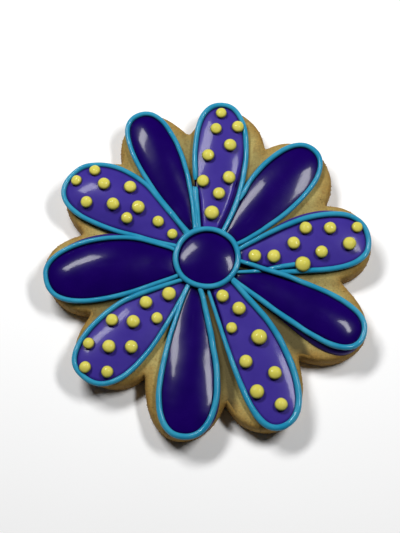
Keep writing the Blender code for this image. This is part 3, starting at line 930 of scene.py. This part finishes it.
# %% Dot tree
def dot_tree():
    graph, given = new_tree("piped_dots", {
        "Sag": ("Float", 0.72), "Unevenness": ("Float", 0.3 * MM), "Seed": ("Int", 0),
        "Icing": ("Material", None),
    })
    ball = graph.node("GeometryNodeMeshUVSphere", None, {"Segments": 28, "Rings": 16, "Radius": 0.5})
    squash = graph.node("ShaderNodeCombineXYZ", None, {"X": 1.0, "Y": 1.0, "Z": given.other("Sag")})
    sockets = {"Geometry": ball, "Translation": (0, 0, 0.2), "Scale": squash}
    drop = graph.node("GeometryNodeTransform", None, sockets)
    rise = graph.node("ShaderNodeSeparateXYZ", None, {0: graph.node("GeometryNodeInputPosition")}, "Z")
    drop = graph.node("GeometryNodeStoreNamedAttribute", {"data_type": "FLOAT", "domain": "POINT"},
                      {"Geometry": drop, "Name": "rise", "Value": rise})
    size = graph.node("GeometryNodeInputNamedAttribute", {"data_type": "FLOAT"}, {"Name": "size"})
    lean = graph.node("GeometryNodeInputNamedAttribute", {"data_type": "FLOAT_VECTOR"}, {"Name": "lean"})
    upright = graph.node("FunctionNodeAlignRotationToVector", {"axis": "Z"}, {"Vector": lean})
    sockets = {0: (0, 0, 0), 1: (0, 0, 6.2), "Seed": given.other("Seed")}
    spin = graph.node("FunctionNodeRandomValue", {"data_type": "FLOAT_VECTOR"}, sockets)
    sockets = {"Rotation": upright, "Rotate By": spin}
    turned = graph.node("FunctionNodeRotateRotation", {"rotation_space": "LOCAL"}, sockets)
    points = graph.node("GeometryNodeMeshToPoints", None, {"Mesh": given})
    sockets = {"Points": points, "Instance": drop, "Rotation": turned, "Scale": size * MM}
    drops = graph.node("GeometryNodeInstanceOnPoints", None, sockets)
    real = graph.node("GeometryNodeRealizeInstances", None, {"Geometry": drops})
    spot = graph.node("GeometryNodeInputPosition")
    normal = graph.node("GeometryNodeInputNormal")
    push = (graph.noise(spot, 2.2, 1.0) - 0.5) * given.other("Unevenness")
    push = graph.node("ShaderNodeVectorMath", {"operation": "SCALE"}, {0: normal, "Scale": push})
    uneven = graph.node("GeometryNodeSetPosition", None, {"Geometry": real, "Offset": push})
    smooth = graph.node("GeometryNodeSetShadeSmooth", None, {"Geometry": uneven})
    end_tree(graph, smooth, given.other("Icing"))
    return graph


DOTS = dot_tree()
print("nodes in the dot tree:", len(DOTS.tree.nodes))

# %% Make the dots
LEAN_STEP = 0.8
LEAN_SHARE = 0.6
for name in NAMES:
    petal = PETALS[name]
    if not petal.dots:
        continue
    axis = polar(1, petal.bearing)
    across = np.array([axis[1], -axis[0]])
    spots, leans = [], []
    for dot in petal.dots:
        spot = axis * dot.along + across * dot.across
        spots.append((*spot, surface(spot, [name])))
        steps = np.eye(2) * LEAN_STEP
        climbs = [surface(spot + step, [name]) - surface(spot - step, [name]) for step in steps]
        leans.append([-rise / (2 * LEAN_STEP) * LEAN_SHARE for rise in climbs] + [1])
    data = mesh_of("dots", spots, size=[dot.size for dot in petal.dots], lean=leans)
    dots = grown(f"petal_{name}_dots", data, DOTS, Icing=YELLOW)
    hand_over(dots, "yellow_icing", f"petal_{name}_icing")

# %% [markdown]
# ## Crumbs
#
# A cut and baked edge sheds crumbs that stay stuck to it. Points are scattered over the browner
# part of the crust with a fixed seed, and a small lump of dough sits on each.

# %% Crumb tree
def crumb_tree():
    graph, given = new_tree("crumbs", {
        "Per square metre": ("Float", 150000.0), "Smallest": ("Float", 0.1 * MM),
        "Largest": ("Float", 0.26 * MM), "Seed": ("Int", 11), "Skin": ("Material", None),
    })
    brown = graph.node("GeometryNodeInputNamedAttribute", {"data_type": "FLOAT"}, {"Name": "browning"})
    height = graph.node(
        "ShaderNodeSeparateXYZ", None, {0: graph.node("GeometryNodeInputPosition")}, "Z")
    wanted = graph.between(brown, 0.04, 0.5) * graph.between(height, 0.4 * MM, 1.0 * MM)
    density = wanted * given.other("Per square metre")
    sockets = {"Mesh": given, "Density": density, "Seed": given.other("Seed")}
    points = graph.node("GeometryNodeDistributePointsOnFaces", {"distribute_method": "RANDOM"}, sockets)
    lump = graph.node("GeometryNodeMeshIcoSphere", None, {"Radius": 1.0, "Subdivisions": 1})
    sockets = {2: given.other("Smallest"), 3: given.other("Largest"), "Seed": given.other("Seed")}
    size = graph.node("FunctionNodeRandomValue", {"data_type": "FLOAT"}, sockets, 1)
    sockets = {"Points": points, "Instance": lump, "Rotation": points.other("Rotation"), "Scale": size}
    lumps = graph.node("GeometryNodeInstanceOnPoints", None, sockets)
    real = graph.node("GeometryNodeRealizeInstances", None, {"Geometry": lumps})
    spot = graph.node("GeometryNodeInputPosition")
    clouds = graph.node("ShaderNodeTexNoise", None, {"Vector": spot, "Scale": 3500.0}, "Color")
    shove = graph.node("ShaderNodeVectorMath", {"operation": "SUBTRACT"}, {0: clouds, 1: (0.5,) * 3})
    shove = graph.node("ShaderNodeVectorMath", {"operation": "SCALE"}, {0: shove, "Scale": 0.25 * MM})
    ragged = graph.node("GeometryNodeSetPosition", None, {"Geometry": real, "Offset": shove})
    end_tree(graph, ragged, given.other("Skin"))
    return graph


crumbs = grown("crumbs", cookie.data.copy(), crumb_tree(), Skin=DOUGH_SKIN)
hand_over(crumbs, "biscuit")

# %% [markdown]
# ## Floor, light and camera
#
# A pale floor, a soft light on each side and a little light from all around, as in a small
# product studio. The two lights give each dome its pair of streaks. The camera stands almost
# above the cookie, on the side of the lower petals.

# %% Floor
def floor_material():
    material = bpy.data.materials.new("pale_floor")
    material.use_nodes = True
    graph = Graph(material.node_tree)
    shader = material.node_tree.nodes["Principled BSDF"]
    place = graph.node("ShaderNodeTexCoord", out="Object")
    graph.join(graph.tint(graph.noise(place, 60.0), (0.92, 0.92, 0.92), (0.94, 0.94, 0.94)),
               shader.inputs["Base Color"])
    shader.inputs["Roughness"].default_value = 0.9
    shader.inputs["Specular IOR Level"].default_value = 0.1
    return material


REACH = 1500
corners = [(-REACH, -REACH, 0), (REACH, -REACH, 0), (REACH, REACH, 0), (-REACH, REACH, 0)]
floor = new_object("floor", mesh_of("floor", corners, [(0, 1, 2, 3)]))
floor.data.materials.append(floor_material())
print("floor:", 2 * REACH * MM, "m wide")

# %% Lights
LIGHT_AWAY = 0.5
SOFTBOXES = (
    ("left", (-0.37, 0.43, 0.82), 1.9, 0.2, 0.085),
    ("right", (0.47, 0.18, 0.86), 1.43, 0.17, 0.07),
)
for name, side, watts, length, width in SOFTBOXES:
    lamp = bpy.data.lights.new(f"{name}_softbox", "AREA")
    lamp.shape = "RECTANGLE"
    lamp.size = length
    lamp.size_y = width
    lamp.energy = watts
    holder = new_object(f"{name}_softbox", lamp)
    holder.location = np.array(side) * LIGHT_AWAY
    holder.rotation_euler = holder.location.to_track_quat("Z", "Y").to_euler()
    print(name, "softbox at", [round(value, 2) for value in holder.location])

world = bpy.data.worlds.new("studio")
world.use_nodes = True
world.node_tree.nodes["Background"].inputs["Color"].default_value = (0.93, 0.96, 1.0, 1)
world.node_tree.nodes["Background"].inputs["Strength"].default_value = 0.015
bpy.context.scene.world = world
bpy.context.scene.view_settings.view_transform = "Standard"

# %% Camera
CAMERA_AWAY = 0.45
CAMERA_RISE = math.radians(72)
LOOK_HEIGHT = 0.009
lens = bpy.data.cameras.new("camera")
lens.lens = 100.3
lens.shift_x = -0.0129
lens.shift_y = -0.0165
lens.clip_start = 0.01
camera = new_object("camera", lens)
camera.location = (0, -CAMERA_AWAY * math.cos(CAMERA_RISE), LOOK_HEIGHT + CAMERA_AWAY * math.sin(CAMERA_RISE))
camera.rotation_euler = (math.pi / 2 - CAMERA_RISE, 0, 0)
bpy.context.scene.camera = camera
print("camera", round(CAMERA_AWAY, 2), "m away")
